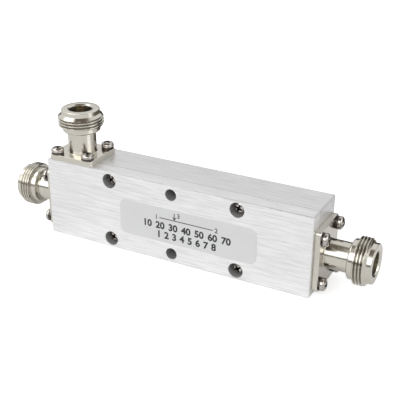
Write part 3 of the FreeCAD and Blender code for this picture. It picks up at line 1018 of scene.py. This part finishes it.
def mark_recess(mesh, fastener):
    """Writes a face attribute that is one on the faces that lie below the dome, where the steel paints
    shade in the cross recess.
    """
    above_seat = 0.05 * MM
    below_dome = 0.08 * MM
    widest = 0.8
    head = fastener.head_diameter / 2
    wall = fastener.head_wall
    mark = mesh.faces.layers.float.new("recess")
    for face in mesh.faces:
        centre = face.calc_center_median()
        across = math.hypot(centre.x, centre.y) / head
        dome = wall + (fastener.head_height - wall) * math.sqrt(max(0.0, 1.0 - across ** 2))
        if above_seat < centre.z < dome - below_dome and across < widest:
            face[mark] = 1.0


class MakeScrews(bpy.types.Operator):
    """Builds the screws of the flanges and of the cover"""
    bl_idname = "coupler.make_screws"
    bl_label = "Screws"

    def execute(self, context):
        fastener = scene_settings()["fastener"]
        # The steel paints shade in the cross recess
        steel = mottled(
            "polished_steel_and_painted_shade", fastener.steel, size=1 * MM, roughness=fastener.steel_roughness,
            spread=0.05, metallic=1.0, bump=0.004 * MM, hollow="recess",
            hollow_painted_shade=fastener.recess_painted_shade)
        turning = turned_thread_tree()
        setting = set_on_points_tree()
        places = {port + "_flange_screws": port_place(port) for port in port_names}
        outward = Matrix.Rotation(FULL_TURN / 4, 4, "X")
        low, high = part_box("cover_screws")
        centre = (low + high) / 2
        places["cover_screws"] = Matrix.Translation((centre.x, 0, centre.z)) @ outward
        for seed, (node, place) in enumerate(places.items(), start=3):
            low, high = box_in(place, node)
            seat = high.z - fastener.head_height
            model = pan_screw(node + "_model", fastener, seat - low.z, turning, steel)
            points = screw_places(place, node, fastener.head_diameter, seat)
            screws = grown(node + "_set", setting, {
                "Piece": model, "Highest Turn": FULL_TURN / 4, "Seed": seed, "Material": steel,
            }, point_mesh(node + "_points", points))
            screws.data.transform(place)
            remove_object(model)
            stand_for(screws, node)
        return {"FINISHED"}


class MakeWashers(bpy.types.Operator):
    """Builds the split lock washers under the flange screws"""
    bl_idname = "coupler.make_washers"
    bl_label = "Lock washers"

    def execute(self, context):
        fastener = scene_settings()["fastener"]
        steel = mottled(
            "dark_steel", fastener.washer_steel, size=1.2 * MM, roughness=0.34, spread=0.08,
            metallic=1.0, bump=0.01 * MM)
        tree = lock_washer_tree()
        for seed, port in enumerate(port_names, start=11):
            node = port + "_lock_washers"
            place = port_place(port)
            low, high = box_in(place, node)
            points = screw_places(
                place, port + "_flange_screws", fastener.head_diameter, low.z)
            washers = grown(node + "_set", tree, {
                "Outer Radius": fastener.washer_outer / 2, "Inner Radius": fastener.washer_inner / 2,
                "Thickness": high.z - low.z, "Break": fastener.washer_break,
                "Gap": fastener.washer_gap, "Lean": fastener.washer_lean, "Seed": seed,
                "Material": steel,
            }, point_mesh(node + "_points", points))
            close_mesh(opened(washers.data), washers.data)
            washers.data.transform(place)
            stand_for(washers, node)
        return {"FINISHED"}


def add_stroke(mesh, start, end, width, front, thickness):
    """Printed line from one (x, z) place on the label to another."""
    first = Vector((start[0], 0, start[1]))
    last = Vector((end[0], 0, end[1]))
    along = (last - first).normalized() * width / 2
    aside = Vector((-along.z, 0, along.x))
    outline = (first - along - aside, last + along - aside, last + along + aside, first - along + aside)
    rings = []
    for depth in (front, front - thickness):
        rings.append(add_ring(mesh, [point + Vector((0, depth, 0)) for point in outline]))
    close_ends(mesh, rings)


def add_digit(mesh, text, height, boldness, x, z, front, thickness):
    """Printed number, centred on an (x, z) place on the label."""
    curve = bpy.data.curves.new("digit", "FONT")
    curve.body = text
    curve.size = height / DIGIT_SHARE
    curve.offset = boldness
    curve.align_x = "CENTER"
    curve.align_y = "CENTER"
    curve.extrude = thickness / 2
    writing = new_object("digit", curve)
    shape = evaluated_mesh(writing)
    upright = Matrix.Rotation(FULL_TURN / 4, 4, "X")
    shape.transform(Matrix.Translation((x, front - thickness / 2, z)) @ upright)
    mesh.from_mesh(shape)
    bpy.data.objects.remove(writing)
    bpy.data.curves.remove(curve)
    bpy.data.meshes.remove(shape)


class MakeLabel(bpy.types.Operator):
    """Gives the label its foil finish and a plain diagram with port numbers"""
    bl_idname = "coupler.make_label"
    bl_label = "Label"

    def execute(self, context):
        label = scene_settings()["label"]
        foil = mottled(
            "satin_foil", label.foil, size=12 * MM, roughness=0.45, spread=0.05, metallic=0.35,
            bump=0.006 * MM, contrast=0.04)
        ink = mottled(
            "printing_ink", label.ink, size=1 * MM, roughness=0.5, spread=0.06, bump=0.004 * MM)
        dress("label", foil)
        low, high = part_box("label")
        front = low.y
        thickness = label.print_thickness
        centre_x = (low.x + high.x) / 2
        middle = (low.z + high.z) / 2
        half_line = 10.0 * MM
        line_z = middle + 2.6 * MM
        arrow_x = centre_x - 4.4 * MM
        arrow_top = line_z + 2.6 * MM
        arrow_tip = line_z + 0.35 * MM
        barb_height = 0.8 * MM
        barb_reach = barb_height * 0.6
        port_gap = 1.4 * MM
        port_boldness = 0.04 * MM
        # For each row: its height on the part, the distance between its numbers, and the numbers
        rows = (
            (middle - 0.4 * MM, 5.0 * MM, ("10", "20", "30", "40", "50", "60", "70")),
            (middle - 3.8 * MM, 3.0 * MM, ("1", "2", "3", "4", "5", "6", "7", "8")),
        )
        strokes = [
            ((centre_x - half_line, line_z), (centre_x + half_line, line_z)),
            ((arrow_x, arrow_top), (arrow_x, arrow_tip)),
        ]
        for side in (-1, 1):
            barb = (arrow_x + side * barb_reach, arrow_tip + barb_height)
            strokes.append(((arrow_x, arrow_tip), barb))
        mesh = bmesh.new()
        for start, end in strokes:
            add_stroke(mesh, start, end, label.stroke, front, thickness)
        ports = [
            ("1", centre_x - half_line - port_gap, line_z),
            ("2", centre_x + half_line + port_gap, line_z),
            ("3", arrow_x + 1.6 * MM, arrow_top - 0.6 * MM),
        ]
        for text, x, z in ports:
            add_digit(mesh, text, label.digit_height, port_boldness, x, z, front, thickness)
        for row_z, step, numbers in rows:
            for column, text in enumerate(numbers):
                x = centre_x + (column - (len(numbers) - 1) / 2) * step
                add_digit(mesh, text, label.scale_height, label.boldness, x, row_z, front, thickness)
        bmesh.ops.remove_doubles(mesh, verts=mesh.verts, dist=SAME_POINT / 4)
        bmesh.ops.recalc_face_normals(mesh, faces=mesh.faces)
        print_mesh = bpy.data.meshes.new("label_print")
        mesh.to_mesh(print_mesh)
        mesh.free()
        print_mesh.materials.append(ink)
        writing = new_object("label_print", print_mesh)
        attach(writing, "root")
        return {"FINISHED"}


# Stage

def flat_board(name, centre, facing, width, height, colour):
    """Board beside the set that only shows in polished surfaces."""
    mesh = sheet_mesh(name, width, height)
    turn = Vector(facing).to_track_quat("Z", "Y").to_matrix().to_4x4()
    mesh.transform(Matrix.Translation(Vector(centre)) @ turn)
    board = new_object(name, mesh)
    material, tree, glow = new_material(name, "ShaderNodeEmission")
    glow.inputs["Color"].default_value = (*colour, 1.0)
    mesh.materials.append(material)
    board.visible_camera = False
    board.visible_diffuse = False
    board.visible_shadow = False
    board.visible_transmission = False


def seen_directly(tree):
    """One for camera, glossy and transmission rays, and zero for light that scatters."""
    path = tree.nodes.new("ShaderNodeLightPath")
    direct = calculate(tree, "MAXIMUM", path.outputs["Is Camera Ray"], path.outputs["Is Glossy Ray"])
    return calculate(tree, "MAXIMUM", direct, path.outputs["Is Transmission Ray"])


def make_floor(stage):
    """White floor that takes the shadow, and glows only where it is seen or mirrored."""
    side = 12.0
    gap = 0.05 * MM
    tone = 0.86
    mesh = sheet_mesh("floor", side, side)
    mesh.transform(Matrix.Translation((0, 0, cad_low.z - gap)))
    floor = new_object("floor", mesh)
    material, tree, shader = new_material("white_floor")
    shader.inputs["Base Color"].default_value = (tone, tone, tone, 1.0)
    shader.inputs["Roughness"].default_value = 1.0
    shader.inputs["Specular IOR Level"].default_value = 0.0
    shader.inputs["Emission Color"].default_value = (1.0, 1.0, 1.0, 1.0)
    path = tree.nodes.new("ShaderNodeLightPath").outputs
    seen = calculate(tree, "MAXIMUM", path["Is Camera Ray"], path["Is Transmission Ray"])
    direct = calculate(tree, "MULTIPLY", seen, stage.floor_glow)
    mirrored = calculate(tree, "MULTIPLY", path["Is Glossy Ray"], stage.mirrored_glow)
    tree.links.new(calculate(tree, "ADD", direct, mirrored), shader.inputs["Emission Strength"])
    mesh.materials.append(material)


def make_world(stage):
    """World that is white where it is seen or mirrored, and lights the part at the room's level."""
    world = bpy.data.worlds.new("white_room")
    bpy.context.scene.world = world
    world.use_nodes = True
    tree = world.node_tree
    background = tree.nodes["Background"]
    background.inputs["Color"].default_value = (1.0, 1.0, 1.0, 1.0)
    level = add_node(tree, "ShaderNodeMix", {"Factor": seen_directly(tree)}, data_type="FLOAT")
    level.inputs[2].default_value = stage.room_light
    level.inputs[3].default_value = 1.0
    tree.links.new(level.outputs[0], background.inputs["Strength"])


def softbox(name, place, width, height, radiance):
    """Area light that faces the origin."""
    light = bpy.data.lights.new(name, "AREA")
    light.shape = "RECTANGLE"
    light.size = width
    light.size_y = height
    light.energy = AREA_LIGHT_WATTS * width * height * radiance
    lamp = new_object(name, light)
    lamp.location = place
    lamp.rotation_mode = "QUATERNION"
    lamp.rotation_quaternion = Vector(place).to_track_quat("Z", "Y")


def make_camera(stage):
    camera = bpy.data.cameras.new("camera")
    camera.lens = stage.focal_length
    camera.sensor_width = 36.0
    camera.clip_start = 0.01
    eye = new_object("camera", camera)
    azimuth = stage.azimuth
    elevation = stage.elevation
    back = Vector((
        math.sin(azimuth) * math.cos(elevation), -math.cos(azimuth) * math.cos(elevation),
        math.sin(elevation)))
    turn = (-back).to_track_quat("-Z", "Y").to_matrix().to_4x4()
    roll = Matrix.Rotation(-stage.roll, 4, "Z")
    eye.matrix_world = Matrix.Translation(Vector(stage.camera_place)) @ turn @ roll
    bpy.context.scene.camera = eye


class MakeStage(bpy.types.Operator):
    """Sets up the floor, the lights, the boards round the set and the camera"""
    bl_idname = "coupler.make_stage"
    bl_label = "Stage"

    def execute(self, context):
        stage = scene_settings()["stage"]
        make_floor(stage)
        make_world(stage)
        softbox("front_softbox", (-0.15, -0.85, 0.62), 1.5, 0.62, stage.key_level)
        softbox("left_softbox", (-0.55, -0.12, 0.78), 0.36, 0.5, stage.key_level)
        softbox("right_softbox", (1.0, 0.02, 0.46), 0.5, 0.4, stage.key_level)
        length = 3.2
        dark = linear(0.20, 0.19, 0.18)
        painted_floor_shade = linear(0.42, 0.40, 0.37)
        overhead_grey = linear(0.46, 0.43, 0.39)
        flat_board("back_board", (0.0, 0.75, 0.14), (0, -1, 0), length, 0.30, dark)
        # Painted shade: a grey sheet on the floor behind the part, seen only in reflections, that stands
        # in for the floor's shade there
        flat_board("rear_floor_board", (0.0, 0.40, 0.0), (0, 0, 1), length, 0.66, painted_floor_shade)
        flat_board("overhead_board", (0.07, -0.10, 0.80), (0, 0, -1), 0.70, 0.62, overhead_grey)
        flat_board("front_board", (0.0, -0.95, 0.16), (0, 1, 0), length, 0.16, dark)
        make_camera(stage)
        bpy.context.scene.view_settings.view_transform = "Standard"
        return {"FINISHED"}


class CouplerPanel(bpy.types.Panel):
    """Sizes and colours of the coupler, and the steps that build it"""
    bl_idname = "COUPLER_PT_panel"
    bl_label = "Directional coupler"
    bl_space_type = "VIEW_3D"
    bl_region_type = "UI"
    bl_category = "Coupler"

    def draw(self, context):
        layout = self.layout
        for settings in scene_settings().values():
            box = layout.box()
            for name in settings.__annotations__:
                box.prop(settings, name)
        for step in steps:
            layout.operator(step.bl_idname)


steps = (DressBlock, DressInside, MakeJacks, MakeScrews, MakeWashers, MakeLabel, MakeStage)
setting_groups = {
    "coupler_jack": JackSettings,
    "coupler_fastener": FastenerSettings,
    "coupler_block": BlockSettings,
    "coupler_inside": InsideSettings,
    "coupler_label": LabelSettings,
    "coupler_stage": StageSettings,
}


def register():
    for name, group in setting_groups.items():
        bpy.utils.register_class(group)
        setattr(bpy.types.Scene, name, bpy.props.PointerProperty(type=group))
    for step in steps:
        bpy.utils.register_class(step)
    bpy.utils.register_class(CouplerPanel)


def unregister():
    bpy.utils.unregister_class(CouplerPanel)
    for step in reversed(steps):
        bpy.utils.unregister_class(step)
    for name, group in reversed(setting_groups.items()):
        delattr(bpy.types.Scene, name)
        bpy.utils.unregister_class(group)


def main():
    register()
    bpy.ops.coupler.dress_block()
    bpy.ops.coupler.dress_inside()
    bpy.ops.coupler.make_jacks()
    bpy.ops.coupler.make_screws()
    bpy.ops.coupler.make_washers()
    bpy.ops.coupler.make_label()
    bpy.ops.coupler.make_stage()


if __name__ == "__main__":
    main()
